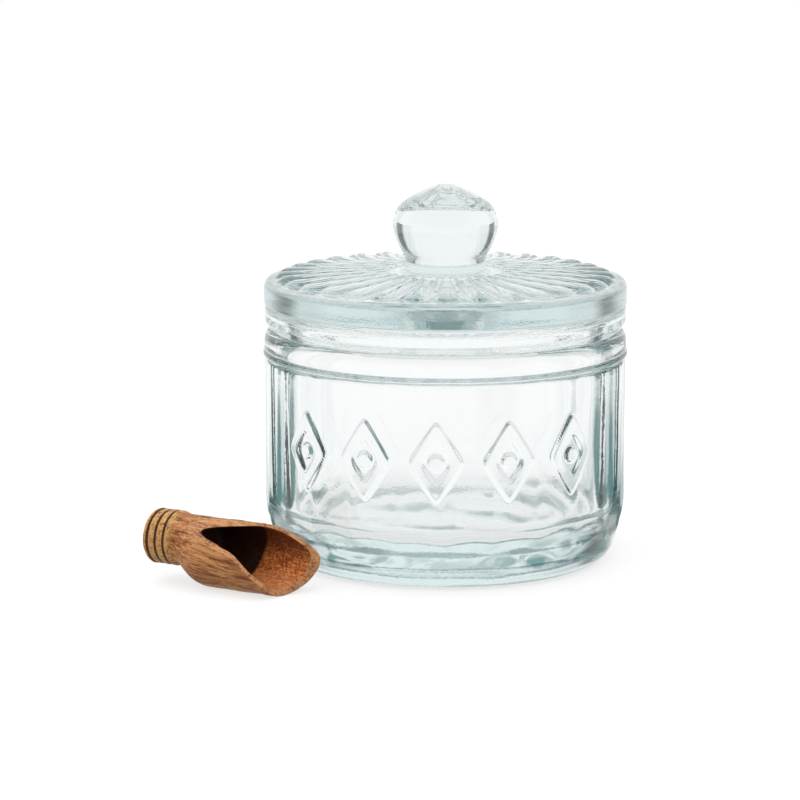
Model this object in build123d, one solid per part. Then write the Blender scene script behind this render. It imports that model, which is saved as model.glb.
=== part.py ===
from build123d import *
import os
from math import cos, sin, tan, radians, sqrt

# A pressed-glass sugar canister: a faceted jar, a ribbed lid with a solid knob,
# and a small wooden scoop that lies on the table beside it.
# Millimetres, +Z up. The origin is on the jar's axis, in the plane that its foot stands on.

# The jar's heights, from the table up.
BASE_THICKNESS = 15.0
FACET_BOTTOM = 15.6
JAR_HEIGHT = 76.5
BEAD_DROP = 8.5
BEAD_WIDTH = 1.7

# The jar's radii, from the foot up.
FOOT_RADIUS = 50.0
FOOT_CORNER = 7.0
FOOT_RING_WIDTH = 6.0
FOOT_RECESS_DEPTH = 0.8
BASE_TOP_RADIUS = 59.0
FACET_CORNER_RADIUS = 60.0
FACET_COUNT = 24
BEAD_STAND = 0.55
RIM_ROUND_WIDTH = 2.6
RIM_ROUND_HEIGHT = 4.2

# The jar's inside. The neck is wider than the body, and a rounded ledge joins the two.
WALL = 7.7
BORE_DRAFT = 0.8
FLOOR_CORNER = 6.0
NECK_WALL = 4.5
LEDGE_DROP = 8.0
LEDGE_ROUND = 3.6
RIM_INNER_ROUND = 1.0

# Five raised lozenges on the front, each with a round boss in the middle.
LOZENGE_COUNT = 5
LOZENGE_PITCH = 22.5
LOZENGE_TURN = -3.5
LOZENGE_HEIGHT = 28.0
LOZENGE_WIDTH = 18.0
LOZENGE_STROKE = 3.6
LOZENGE_RISE = 26.9
LOZENGE_STAND = 1.1
LOZENGE_CORNER = 2.5
LOZENGE_DRAFT = 25.0
BOSS_RADIUS = 2.6

# The lid, from its seat on the jar's rim up to the knob's tip.
SEAT_GAP = 0.1
LID_RADIUS = 60.0
LOWER_BAND_HEIGHT = 7.9
LOWER_BAND_STEP = 0.3
LOWER_EDGE_WIDTH = 1.5
LOWER_EDGE_HEIGHT = 2.7
GROOVE_WIDTH = 1.2
GROOVE_DEPTH = 0.8
UPPER_BAND_HEIGHT = 8.4
UPPER_BAND_ROUND = 2.4
CEILING_HEIGHT = 6.3
SPIGOT_GAP = 0.6
SPIGOT_WIDTH = 4.6
SPIGOT_LENGTH = 3.0
SPIGOT_ROUND = 1.0
RECESS_RADIUS = 12.4
RECESS_DEPTH = 2.8
LID_RISE = 2.2

# The lid's ribs run out from the collar like the rays of a sun.
RIB_COUNT = 32
RIB_START = 20.0
RIB_END = 56.0
RIB_WIDTH_START = 2.8
RIB_WIDTH_END = 8.6
RIB_STAND_START = 0.9
RIB_STAND_END = 1.5
RIB_ROOT = 0.3

# The knob stands on a short collar. Its heights are measured from the collar's top.
COLLAR_RADIUS = 13.2
COLLAR_HEIGHT = 3.2
KNOB_WIDEST_RADIUS = 17.35
KNOB_WIDEST_HEIGHT = 12.7
KNOB_SHOULDER_RADIUS = 14.4
KNOB_SHOULDER_HEIGHT = 19.6
KNOB_HEIGHT = 25.8
KNOB_BULGE = 0.8
KNOB_TIP_RADIUS = 3.6
KNOB_TIP_DROP = 0.7

# The scoop lies on its bowl. Stations along it are measured from the handle's end.
SCOOP_BLANK_LENGTH = 58.0
SCOOP_BOWL_RADIUS = 11.2
SCOOP_HANDLE_RADIUS = 9.0
SCOOP_WAIST_RADIUS = 8.1
SCOOP_WAIST = 11.4
SCOOP_SHOULDER_END = 22.0
SCOOP_END_ROUND = 1.4
SCOOP_GROOVES = 3
SCOOP_GROOVE_FIRST = 2.1
SCOOP_GROOVE_PITCH = 3.0
SCOOP_GROOVE_DEPTH = 0.6
SCOOP_GROOVE_WIDTH = 0.8
SCOOP_TURN = -29.6
SCOOP_END_X = -93.7
SCOOP_END_Y = -37.2

# The scoop's bore is drilled a little nearer to its opening side, so the wall there is thin.
SCOOP_WALL = 1.6
SCOOP_BORE_SHIFT = 0.8
SCOOP_BORE_START = 18.5
SCOOP_BORE_ROUND = 2.5

# The mouth's cut in side view: how deep below the opening side it runs, at stations along the scoop.
SCOOP_ROLL = 40.0
MOUTH_START = 12.5
MOUTH_RAMP_END = (30.0, 1.5)
MOUTH_CURVE = ((37.3, 3.4), (44.8, 9.8), (54.2, 17.1), (60.0, 21.5))
MOUTH_END_SLOPE = 0.75

# The lip in plan: its end runs on a skew, and the corner furthest from the front is rounded.
LIP_STATION = 51.3
LIP_SKEW = 27.5
LIP_MARGIN = 0.3
LIP_CORNER = 4.0

# Values that follow from the ones above.
FACET_FLAT_RADIUS = FACET_CORNER_RADIUS * cos(radians(180.0 / FACET_COUNT))
BEAD_BOTTOM = JAR_HEIGHT - BEAD_DROP
BEAD_TOP = BEAD_BOTTOM + BEAD_WIDTH
LEDGE_TOP = JAR_HEIGHT - LEDGE_DROP
LOZENGE_CENTRE = FACET_BOTTOM + LOZENGE_RISE
BEAD_RADIUS = FACET_CORNER_RADIUS + BEAD_STAND
BORE_RADIUS = FACET_CORNER_RADIUS - WALL
NECK_BORE_RADIUS = FACET_CORNER_RADIUS - NECK_WALL
LID_SEAT = JAR_HEIGHT + SEAT_GAP
GROOVE_LEVEL = LID_SEAT + LOWER_BAND_HEIGHT
LID_EDGE_TOP = GROOVE_LEVEL + UPPER_BAND_HEIGHT
CEILING = LID_SEAT + CEILING_HEIGHT
COLLAR_FOOT = LID_EDGE_TOP + LID_RISE
COLLAR_TOP = COLLAR_FOOT + COLLAR_HEIGHT
RIM_LAND = FACET_CORNER_RADIUS - RIM_ROUND_WIDTH
OVERLAP = 1.0


def point_on_round(centre_r, centre_z, width, height, angle):
    """A point on a quarter ellipse, for the middle of a three-point arc."""
    return (centre_r + width * cos(radians(angle)), centre_z + height * sin(radians(angle)))


def turn(outline):
    """Revolves an outline drawn in the XZ plane about the Z axis."""
    return revolve(Plane.XZ * outline, Axis.Z)


def jar_blank():
    """The outside of the jar as a solid of revolution, before its facets are cut."""
    foot_side = FOOT_RADIUS + FOOT_CORNER
    foot_inner = FOOT_RADIUS - FOOT_RING_WIDTH
    rim_side = JAR_HEIGHT - RIM_ROUND_HEIGHT
    with BuildSketch() as outline:
        with BuildLine():
            Polyline((0, FOOT_RECESS_DEPTH), (foot_inner - FOOT_RECESS_DEPTH, FOOT_RECESS_DEPTH),
                     (foot_inner, 0), (FOOT_RADIUS, 0))
            ThreePointArc((FOOT_RADIUS, 0),
                          point_on_round(FOOT_RADIUS, FOOT_CORNER, FOOT_CORNER, FOOT_CORNER, -45),
                          (foot_side, FOOT_CORNER))
            Polyline((foot_side, FOOT_CORNER), (BASE_TOP_RADIUS, FACET_BOTTOM - OVERLAP),
                     (FACET_CORNER_RADIUS, FACET_BOTTOM), (FACET_CORNER_RADIUS, BEAD_BOTTOM),
                     (BEAD_RADIUS, BEAD_BOTTOM + BEAD_WIDTH / 3), (BEAD_RADIUS, BEAD_TOP - BEAD_WIDTH / 3),
                     (FACET_CORNER_RADIUS, BEAD_TOP), (FACET_CORNER_RADIUS, rim_side))
            ThreePointArc((FACET_CORNER_RADIUS, rim_side),
                          point_on_round(RIM_LAND, rim_side, RIM_ROUND_WIDTH, RIM_ROUND_HEIGHT, 45),
                          (RIM_LAND, JAR_HEIGHT))
            Polyline((RIM_LAND, JAR_HEIGHT), (0, JAR_HEIGHT), (0, FOOT_RECESS_DEPTH))
        make_face()
    return turn(outline.sketch)


def jar_hollow():
    """The space inside the jar: neck, ledge, tapering body and rounded floor corner."""
    floor_radius = BORE_RADIUS - BORE_DRAFT
    corner_centre = (floor_radius - FLOOR_CORNER, BASE_THICKNESS + FLOOR_CORNER)
    ledge_foot = LEDGE_TOP - LEDGE_ROUND
    mouth = JAR_HEIGHT + OVERLAP
    with BuildSketch() as outline:
        with BuildLine():
            Polyline((0, mouth), (0, BASE_THICKNESS), (corner_centre[0], BASE_THICKNESS))
            ThreePointArc((corner_centre[0], BASE_THICKNESS),
                          point_on_round(*corner_centre, FLOOR_CORNER, FLOOR_CORNER, -45),
                          (floor_radius, corner_centre[1]))
            Line((floor_radius, corner_centre[1]), (BORE_RADIUS, ledge_foot))
            ledge_end = (min(BORE_RADIUS + LEDGE_ROUND, NECK_BORE_RADIUS), LEDGE_TOP)
            ThreePointArc((BORE_RADIUS, ledge_foot),
                          point_on_round(ledge_end[0], ledge_foot,
                                         BORE_RADIUS - ledge_end[0], LEDGE_ROUND, 45),
                          ledge_end)
            inner_edge = NECK_BORE_RADIUS + RIM_INNER_ROUND
            Polyline(ledge_end, (NECK_BORE_RADIUS, LEDGE_TOP + OVERLAP),
                     (NECK_BORE_RADIUS, JAR_HEIGHT - RIM_INNER_ROUND))
            ThreePointArc((NECK_BORE_RADIUS, JAR_HEIGHT - RIM_INNER_ROUND),
                          point_on_round(inner_edge, JAR_HEIGHT - RIM_INNER_ROUND,
                                         RIM_INNER_ROUND, RIM_INNER_ROUND, 135),
                          (inner_edge, JAR_HEIGHT))
            Polyline((inner_edge, JAR_HEIGHT), (inner_edge, mouth), (0, mouth))
        make_face()
    return turn(outline.sketch)


def facet_cutter():
    """What lies outside the many-sided body: a ring whose hole is a regular polygon."""
    height = BEAD_BOTTOM - FACET_BOTTOM
    ring = Circle(FACET_CORNER_RADIUS + OVERLAP)
    flats = RegularPolygon(FACET_CORNER_RADIUS, FACET_COUNT)
    return extrude(Plane.XY.offset(FACET_BOTTOM) * (ring - flats), height)


def diamond(width, height, corner):
    """A diamond outline with rounded corners."""
    outline = Polygon((-width / 2, 0), (0, -height / 2), (width / 2, 0), (0, height / 2), align=None)
    return fillet(outline.vertices(), corner)


def lozenge(angle):
    """One raised lozenge frame and its boss, standing out of the jar's front at an angle."""
    # The stroke is measured square to the diamond's sides, and the relief leans in as it rises.
    slope = sqrt(LOZENGE_WIDTH**2 + LOZENGE_HEIGHT**2)
    inner_width = LOZENGE_WIDTH - 2 * LOZENGE_STROKE * slope / LOZENGE_HEIGHT
    inner_height = LOZENGE_HEIGHT - 2 * LOZENGE_STROKE * slope / LOZENGE_WIDTH
    turned = radians(angle)
    outward = Vector(sin(turned), -cos(turned), 0)
    start = FACET_FLAT_RADIUS - LOZENGE_STAND
    base = Plane(origin=outward * start + Vector(0, 0, LOZENGE_CENTRE),
                 x_dir=(cos(turned), sin(turned), 0), z_dir=outward)
    rise = 3 * LOZENGE_STAND
    frame = extrude(base * diamond(LOZENGE_WIDTH, LOZENGE_HEIGHT, LOZENGE_CORNER), rise, taper=LOZENGE_DRAFT)
    inner = base * diamond(inner_width, inner_height, LOZENGE_CORNER / 2)
    window = extrude(inner, rise, taper=-LOZENGE_DRAFT)
    boss = extrude(base * Circle(BOSS_RADIUS), rise, taper=LOZENGE_DRAFT)
    skin = Cylinder(FACET_FLAT_RADIUS + LOZENGE_STAND, LOZENGE_HEIGHT + OVERLAP)
    skin = Pos(0, 0, LOZENGE_CENTRE) * skin
    return (frame - window + boss) & skin


def make_jar():
    """The pressed jar, one piece of glass."""
    jar = jar_blank() - facet_cutter() - jar_hollow()
    first = LOZENGE_TURN - LOZENGE_PITCH * (LOZENGE_COUNT - 1) / 2
    for place in range(LOZENGE_COUNT):
        jar += lozenge(first + place * LOZENGE_PITCH)
    return jar


def lid_surface(radius):
    """The height of the lid's gently rising top between its edge and the collar."""
    edge = LID_RADIUS - UPPER_BAND_ROUND
    return LID_EDGE_TOP + LID_RISE * (edge - radius) / (edge - COLLAR_RADIUS)


def lid_underside():
    """The turned edge lines under the lid, from its axis out to the groove in its side."""
    lower_radius = LID_RADIUS - LOWER_BAND_STEP
    spigot_outer = NECK_BORE_RADIUS - SPIGOT_GAP
    spigot_inner = spigot_outer - SPIGOT_WIDTH
    spigot_foot = LID_SEAT - SPIGOT_LENGTH
    spigot_side = spigot_foot + SPIGOT_ROUND
    seat_edge = lower_radius - LOWER_EDGE_WIDTH
    band_foot = LID_SEAT + LOWER_EDGE_HEIGHT
    roof = CEILING + RECESS_DEPTH
    inner_round = (spigot_inner + SPIGOT_ROUND, spigot_side, -SPIGOT_ROUND, SPIGOT_ROUND)
    outer_round = (spigot_outer - SPIGOT_ROUND, spigot_side, SPIGOT_ROUND, SPIGOT_ROUND)
    lines = [
        Polyline((0, roof), (RECESS_RADIUS - RECESS_DEPTH, roof), (RECESS_RADIUS, CEILING),
                 (spigot_inner, CEILING), (spigot_inner, spigot_side)),
        ThreePointArc((spigot_inner, spigot_side), point_on_round(*inner_round, -45),
                      (spigot_inner + SPIGOT_ROUND, spigot_foot)),
        Line((spigot_inner + SPIGOT_ROUND, spigot_foot), (spigot_outer - SPIGOT_ROUND, spigot_foot)),
        ThreePointArc((spigot_outer - SPIGOT_ROUND, spigot_foot), point_on_round(*outer_round, -45),
                      (spigot_outer, spigot_side)),
        Polyline((spigot_outer, spigot_side), (spigot_outer, LID_SEAT), (seat_edge, LID_SEAT),
                 (lower_radius, band_foot), (lower_radius, GROOVE_LEVEL - GROOVE_WIDTH / 2),
                 (lower_radius - GROOVE_DEPTH, GROOVE_LEVEL)),
    ]
    return lines


def lid_outside():
    """The turned edge lines over the lid, from the groove in its side up to the knob's tip."""
    groove_floor = (LID_RADIUS - LOWER_BAND_STEP - GROOVE_DEPTH, GROOVE_LEVEL)
    edge = LID_RADIUS - UPPER_BAND_ROUND
    band_top = LID_EDGE_TOP - UPPER_BAND_ROUND
    widest = (KNOB_WIDEST_RADIUS, COLLAR_TOP + KNOB_WIDEST_HEIGHT)
    shoulder = (KNOB_SHOULDER_RADIUS, COLLAR_TOP + KNOB_SHOULDER_HEIGHT)
    tip = COLLAR_TOP + KNOB_HEIGHT
    tip_edge = (KNOB_TIP_RADIUS, tip - KNOB_TIP_DROP)
    tip_round = (KNOB_TIP_RADIUS**2 + KNOB_TIP_DROP**2) / (2 * KNOB_TIP_DROP)
    half_way = (KNOB_TIP_RADIUS / 2, tip - tip_round + sqrt(tip_round**2 - KNOB_TIP_RADIUS**2 / 4))
    flank = ((COLLAR_RADIUS + widest[0]) / 2 + KNOB_BULGE, COLLAR_TOP + KNOB_WIDEST_HEIGHT / 2)
    brow = point_on_round(shoulder[0], widest[1], widest[0] - shoulder[0], shoulder[1] - widest[1], 45)
    lines = [
        Polyline(groove_floor, (LID_RADIUS, GROOVE_LEVEL + GROOVE_WIDTH / 2), (LID_RADIUS, band_top)),
        ThreePointArc((LID_RADIUS, band_top),
                      point_on_round(edge, band_top, UPPER_BAND_ROUND, UPPER_BAND_ROUND, 45),
                      (edge, LID_EDGE_TOP)),
        Polyline((edge, LID_EDGE_TOP), (COLLAR_RADIUS, COLLAR_FOOT), (COLLAR_RADIUS, COLLAR_TOP)),
        ThreePointArc((COLLAR_RADIUS, COLLAR_TOP), flank, widest),
        ThreePointArc(widest, brow, shoulder),
        Line(shoulder, tip_edge),
        ThreePointArc(tip_edge, half_way, (0, tip)),
        Line((0, tip), (0, CEILING + RECESS_DEPTH)),
    ]
    return lines


def rib():
    """One rib along +X: a ray of rounded section that widens outwards to a rounded end."""
    start_round = (RIB_WIDTH_START**2 / 4 + RIB_STAND_START**2) / (2 * RIB_STAND_START)
    end_round = (RIB_WIDTH_END**2 / 4 + RIB_STAND_END**2) / (2 * RIB_STAND_END)
    end_radius = RIB_END - RIB_WIDTH_END / 2
    start = Vector(RIB_START, 0, lid_surface(RIB_START) + RIB_STAND_START - start_round)
    end = Vector(end_radius, 0, lid_surface(end_radius) + RIB_STAND_END - end_round)
    along = Plane(origin=start, z_dir=end - start)
    upwards = (Align.CENTER, Align.CENTER, Align.MIN)
    ray = along * Cone(start_round, end_round, (end - start).length, align=upwards)
    shape = ray + Pos(start) * Sphere(start_round) + Pos(end) * Sphere(end_round)
    # Only the part that stands out of the lid is kept, with a thin root to join it.
    inner = RIB_START - RIB_WIDTH_START
    top_line = Vector(RIB_END, 0, lid_surface(RIB_END)) - Vector(inner, 0, lid_surface(inner))
    over = Plane(origin=(inner, 0, lid_surface(inner) - RIB_ROOT), x_dir=top_line,
                 z_dir=(-top_line.Z, 0, top_line.X))
    keep = over * Box(RIB_END, 2 * RIB_WIDTH_END, RIB_WIDTH_END, align=(Align.MIN, Align.CENTER, Align.MIN))
    return shape & keep


def make_lid():
    """The lid, one piece of glass: a thick ribbed disc, hollow below, with a locating ring and a knob."""
    outline = make_face(lid_underside() + lid_outside())
    ray = rib()
    rays = [Rot(0, 0, place * 360.0 / RIB_COUNT) * ray for place in range(RIB_COUNT)]
    return turn(outline) + rays


def scoop_handle():
    """The turned handle with its fine grooves. Its line runs a little above the bowl's."""
    neck_in = SCOOP_HANDLE_RADIUS - SCOOP_WAIST_RADIUS
    straight_end = SCOOP_WAIST - 2 * neck_in
    side = SCOOP_HANDLE_RADIUS - SCOOP_END_ROUND
    with BuildSketch() as outline:
        with BuildLine():
            Line((0, 0), (0, side))
            ThreePointArc((0, side),
                          point_on_round(SCOOP_END_ROUND, side, SCOOP_END_ROUND, SCOOP_END_ROUND, 135),
                          (SCOOP_END_ROUND, SCOOP_HANDLE_RADIUS))
            Polyline((SCOOP_END_ROUND, SCOOP_HANDLE_RADIUS), (straight_end, SCOOP_HANDLE_RADIUS),
                     (SCOOP_WAIST, SCOOP_WAIST_RADIUS), (SCOOP_WAIST, 0), (0, 0))
        make_face()
    handle = revolve(outline.sketch, Axis.X)
    for place in range(SCOOP_GROOVES):
        middle = SCOOP_GROOVE_FIRST + place * SCOOP_GROOVE_PITCH
        half = SCOOP_GROOVE_WIDTH / 2
        groove = Polygon((middle - half, SCOOP_HANDLE_RADIUS + half),
                         (middle, SCOOP_HANDLE_RADIUS - SCOOP_GROOVE_DEPTH),
                         (middle + half, SCOOP_HANDLE_RADIUS + half), align=None)
        handle -= revolve(groove, Axis.X)
    return Pos(0, 0, SCOOP_BOWL_RADIUS - SCOOP_WAIST_RADIUS) * handle


def square_to_length(station, lift=0.0):
    """The plane square to the scoop's length at a station."""
    return Plane(origin=(station, 0, lift), x_dir=(0, 1, 0), z_dir=(1, 0, 0))


def scoop_shoulder():
    """The swell from the waist to the bowl. Its top stays level with the bowl's top."""
    steps = 4
    sections = []
    for step in range(steps + 1):
        share = step / steps
        station = SCOOP_WAIST + (SCOOP_SHOULDER_END - SCOOP_WAIST) * share
        radius = SCOOP_WAIST_RADIUS + (SCOOP_BOWL_RADIUS - SCOOP_WAIST_RADIUS) * sin(radians(90 * share))
        sections.append(square_to_length(station, SCOOP_BOWL_RADIUS - radius) * Circle(radius))
    return loft(sections)


def mouth_cutter(opening):
    """What the mouth's cut takes away: a prism with a curved face, seen along the cut."""
    ramp_slope = MOUTH_RAMP_END[1] / (MOUTH_RAMP_END[0] - MOUTH_START)
    before = SCOOP_WAIST_RADIUS
    ramp_start = (MOUTH_START - before, SCOOP_BOWL_RADIUS + before * ramp_slope)
    ramp_end = (MOUTH_RAMP_END[0], SCOOP_BOWL_RADIUS - MOUTH_RAMP_END[1])
    curve = [(station, SCOOP_BOWL_RADIUS - depth) for station, depth in MOUTH_CURVE]
    above = 2 * SCOOP_BOWL_RADIUS
    side_view = Plane(origin=(0, 0, 0), x_dir=(1, 0, 0), z_dir=Vector(1, 0, 0).cross(opening))
    with BuildSketch() as outline:
        with BuildLine():
            Line(ramp_start, ramp_end)
            Spline(ramp_end, *curve, tangents=((1, -ramp_slope), (1, -MOUTH_END_SLOPE)))
            Polyline(curve[-1], (curve[-1][0] + above, curve[-1][1]), (curve[-1][0] + above, above),
                     (ramp_start[0], above), ramp_start)
        make_face()
    return extrude(side_view * outline.sketch, 2 * SCOOP_BOWL_RADIUS, both=True)


def lip_keeper(near_side):
    """What the lip's cut leaves: a long prism with a skewed end and one rounded corner, seen in plan."""
    far = SCOOP_BOWL_RADIUS + LIP_MARGIN
    near = 2 * SCOOP_BOWL_RADIUS
    slope = tan(radians(LIP_SKEW))
    plan = Polygon((-far, -far), (LIP_STATION + far * slope, -far), (LIP_STATION - near * slope, near),
                   (-far, near), align=None)
    plan = fillet(plan.vertices().sort_by(Axis.X)[-1], LIP_CORNER)
    from_above = Plane(origin=(0, 0, 0), x_dir=(1, 0, 0), z_dir=Vector(1, 0, 0).cross(near_side))
    return extrude(from_above * plan, near, both=True)


def make_scoop():
    """The wooden scoop, one piece: handle, shoulder and an open bowl cut off on a slant."""
    lengthwise = (Align.CENTER, Align.CENTER, Align.MIN)
    bowl_length = SCOOP_BLANK_LENGTH - SCOOP_SHOULDER_END
    bowl = square_to_length(SCOOP_SHOULDER_END) * Cylinder(SCOOP_BOWL_RADIUS, bowl_length, align=lengthwise)
    roll = radians(SCOOP_ROLL)
    opening = Vector(0, -sin(roll), cos(roll))
    drill = Cylinder(SCOOP_BOWL_RADIUS - SCOOP_WALL, SCOOP_BLANK_LENGTH, align=lengthwise)
    bore = square_to_length(SCOOP_BORE_START) * drill
    bore = fillet(bore.faces().sort_by(Axis.X)[0].edges(), SCOOP_BORE_ROUND)
    bore = Pos(opening * SCOOP_BORE_SHIFT) * bore
    # The lip reaches further on the side away from the front.
    near_side = Vector(0, -cos(roll), -sin(roll))
    scoop = scoop_handle() + scoop_shoulder() + bowl - bore - mouth_cutter(opening)
    scoop &= lip_keeper(near_side)
    return Pos(SCOOP_END_X, SCOOP_END_Y, SCOOP_BOWL_RADIUS) * Rot(0, 0, SCOOP_TURN) * scoop


def main():
    os.makedirs("parts", exist_ok=True)
    for name, make in (("jar", make_jar), ("lid", make_lid), ("scoop", make_scoop)):
        solid = make()
        box = solid.bounding_box()
        print(f"{name}: {len(solid.solids())} solid, {solid.volume / 1000:.1f} cm3, "
              f"x {box.min.X:.1f} to {box.max.X:.1f}, y {box.min.Y:.1f} to {box.max.Y:.1f}, "
              f"z {box.min.Z:.1f} to {box.max.Z:.1f}")
        export_step(solid, f"parts/{name}.step")


main()
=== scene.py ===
# %% [markdown]
# # A pressed-glass sugar canister and its wooden scoop
# The canister is two pieces of pressed glass: a low jar with flat facets, and a thick lid with a
# sunburst of ribs and a solid knob. A small turned scoop lies beside it. The glass is modelled with both
# its outer and its inner surface, because what makes thick glass look like glass is light that bends at
# one face and mirrors at the other.

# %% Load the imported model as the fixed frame
import math
import bpy
import numpy as np
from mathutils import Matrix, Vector, noise


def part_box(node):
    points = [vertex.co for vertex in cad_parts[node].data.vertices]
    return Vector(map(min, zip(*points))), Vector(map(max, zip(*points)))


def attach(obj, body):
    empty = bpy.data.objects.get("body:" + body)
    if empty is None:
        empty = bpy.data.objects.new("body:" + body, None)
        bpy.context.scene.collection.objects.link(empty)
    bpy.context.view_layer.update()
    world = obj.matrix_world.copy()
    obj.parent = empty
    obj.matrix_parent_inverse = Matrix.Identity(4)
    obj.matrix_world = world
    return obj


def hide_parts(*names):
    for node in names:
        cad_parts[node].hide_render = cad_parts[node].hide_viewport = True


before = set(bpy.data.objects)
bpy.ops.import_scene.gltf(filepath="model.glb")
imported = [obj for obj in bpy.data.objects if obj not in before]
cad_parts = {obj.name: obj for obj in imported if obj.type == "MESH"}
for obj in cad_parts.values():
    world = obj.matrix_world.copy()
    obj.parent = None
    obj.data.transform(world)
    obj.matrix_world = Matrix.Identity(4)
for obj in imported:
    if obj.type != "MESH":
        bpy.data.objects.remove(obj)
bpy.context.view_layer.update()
MM = 0.001
jar_low, jar_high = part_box("jar")
lid_low, lid_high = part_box("lid")
scoop_low, scoop_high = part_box("scoop")
bpy.ops.object.select_all(action="DESELECT")
print("jar", [round(v / MM, 1) for v in jar_high - jar_low])
print("lid", [round(v / MM, 1) for v in lid_high - lid_low])
print("scoop", [round(v / MM, 1) for v in scoop_high - scoop_low])

# %% [markdown]
# ## The camera
# A long lens from a metre away gives the flat, calm look of a catalogue picture. The camera stands a
# little to the left of the jar and looks down on it by about eleven degrees.

# %% Camera
CAMERA_DISTANCE = 1000 * MM
CAMERA_DOWN = math.radians(10.71)
CAMERA_SIDE = -15.0 * MM
AIM_HEIGHT = 51.6 * MM
LENS_MM = 135.0

bpy.ops.object.camera_add(
    location=(CAMERA_SIDE, -CAMERA_DISTANCE * math.cos(CAMERA_DOWN),
              AIM_HEIGHT + CAMERA_DISTANCE * math.sin(CAMERA_DOWN)),
    rotation=(math.pi / 2 - CAMERA_DOWN, 0, 0))
camera = bpy.context.object
camera.name = "camera"
camera.data.lens = LENS_MM
camera.data.sensor_width = 36.0
bpy.context.scene.camera = camera
print("camera at", [round(v / MM) for v in camera.location])

# %% [markdown]
# ## Drawing a turned outline
# Both glass pieces and the scoop are turned shapes, so each starts as half of its cross-section: a chain of
# points round the wall, outside and inside. Straight stretches that will carry facets or relief get extra
# rows, and rounded corners are stretches of an ellipse.

# %% Outline helper
class Outline:
    """The points of a turned shape's half section, in millimetres: radius, then height."""

    def __init__(self, radius, height):
        self.points = [(radius, height)]

    def to(self, radius, height, rows=1):
        """A straight stretch, cut into rows."""
        last_radius, last_height = self.points[-1]
        for row in range(1, rows + 1):
            self.points.append((last_radius + (radius - last_radius) * row / rows,
                                last_height + (height - last_height) * row / rows))
        return self

    def around(self, centre_radius, centre_height, width, height, start, end, rows=6):
        """A stretch of an ellipse, from one angle to another in degrees."""
        for row in range(rows + 1):
            angle = math.radians(start + (end - start) * row / rows)
            point = (centre_radius + width * math.cos(angle), centre_height + height * math.sin(angle))
            if math.dist(point, self.points[-1]) > 1e-4:
                self.points.append(point)
        return self

    def through(self, points, rows):
        """A smooth curve through the last point and the ones given, by the Catmull-Rom formula."""
        knots = np.array([self.points[-1]] + list(points), dtype=float)
        padded = np.vstack([2 * knots[0] - knots[1], knots, 2 * knots[-1] - knots[-2]])
        for place in range(len(knots) - 1):
            before, start, end, after = padded[place:place + 4]
            for row in range(1, rows + 1):
                share = row / rows
                point = 0.5 * (2 * start + (end - before) * share
                               + (2 * before - 5 * start + 4 * end - after) * share**2
                               + (3 * start - before - 3 * end + after) * share**3)
                self.points.append((float(point[0]), float(point[1])))
        return self


def spin_outline(name, outline, steps):
    """Extrudes one vertex along the outline and spins the chain round the Z axis."""
    points = [Vector((r * MM, 0, z * MM)) for r, z in outline.points]
    bpy.ops.object.select_all(action="DESELECT")
    bpy.ops.mesh.primitive_plane_add(size=MM, location=points[0])
    piece = bpy.context.object
    piece.name = name
    bpy.context.tool_settings.mesh_select_mode = (True, False, False)
    bpy.ops.object.mode_set(mode="EDIT")
    bpy.ops.mesh.select_all(action="SELECT")
    bpy.ops.mesh.merge(type="CENTER")
    for before, after in zip(points, points[1:]):
        bpy.ops.mesh.extrude_vertices_move(TRANSFORM_OT_translate={"value": after - before})
    bpy.ops.mesh.select_all(action="SELECT")
    bpy.ops.mesh.spin(steps=steps, angle=2 * math.pi, use_auto_merge=True, center=(0, 0, 0), axis=(0, 0, 1))
    bpy.ops.mesh.select_all(action="SELECT")
    bpy.ops.mesh.remove_doubles(threshold=0.001 * MM)
    bpy.ops.mesh.normals_make_consistent(inside=False)
    bpy.ops.object.mode_set(mode="OBJECT")
    bpy.ops.object.transform_apply(location=True, rotation=True, scale=True)
    bpy.ops.object.shade_smooth()
    print(name, len(piece.data.vertices), "points after the spin")
    return piece


# %% [markdown]
# ## The jar
# The jar's outside runs from a shallow recess under the foot, round a generous corner, up the facets to a
# thin bead, and over a rounded rim. The inside comes back down the neck, over a soft ledge, and down a
# slightly tapering wall to a thick floor.

# %% Jar outline
JAR_HEIGHT = jar_high.z / MM
BASE_THICKNESS = 15.0
FACET_BOTTOM = 15.6
FACET_TOP = JAR_HEIGHT - 8.5
BEAD_WIDTH = 1.5
FOOT_RADIUS = 50.0
FOOT_CORNER = 7.0
FOOT_RING_WIDTH = 6.0
FOOT_RECESS = 0.8
BASE_TOP_RADIUS = 59.0
JAR_RADIUS = 60.0
BEAD_STAND = 0.42
RIM_WIDTH = 2.6
RIM_HEIGHT = 4.2
BORE_RADIUS = 52.3
BORE_FOOT_RADIUS = 51.5
FLOOR_CORNER = 6.0
NECK_BORE = 55.5
LEDGE_TOP = JAR_HEIGHT - 8.0
LEDGE_ROUND = 3.6
RIM_INNER = 1.0
RECESS_ROUND = 1.6
BASE_SIDE_DROP = 4.0
RELIEF_BOTTOM = 27.0
RELIEF_TOP = 58.0
BEAD_ARC = 75
JAR_STEPS = 384

bead_top = FACET_TOP + BEAD_WIDTH
foot_inner = FOOT_RADIUS - FOOT_RING_WIDTH
bead_middle = (FACET_TOP + bead_top) / 2

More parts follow.
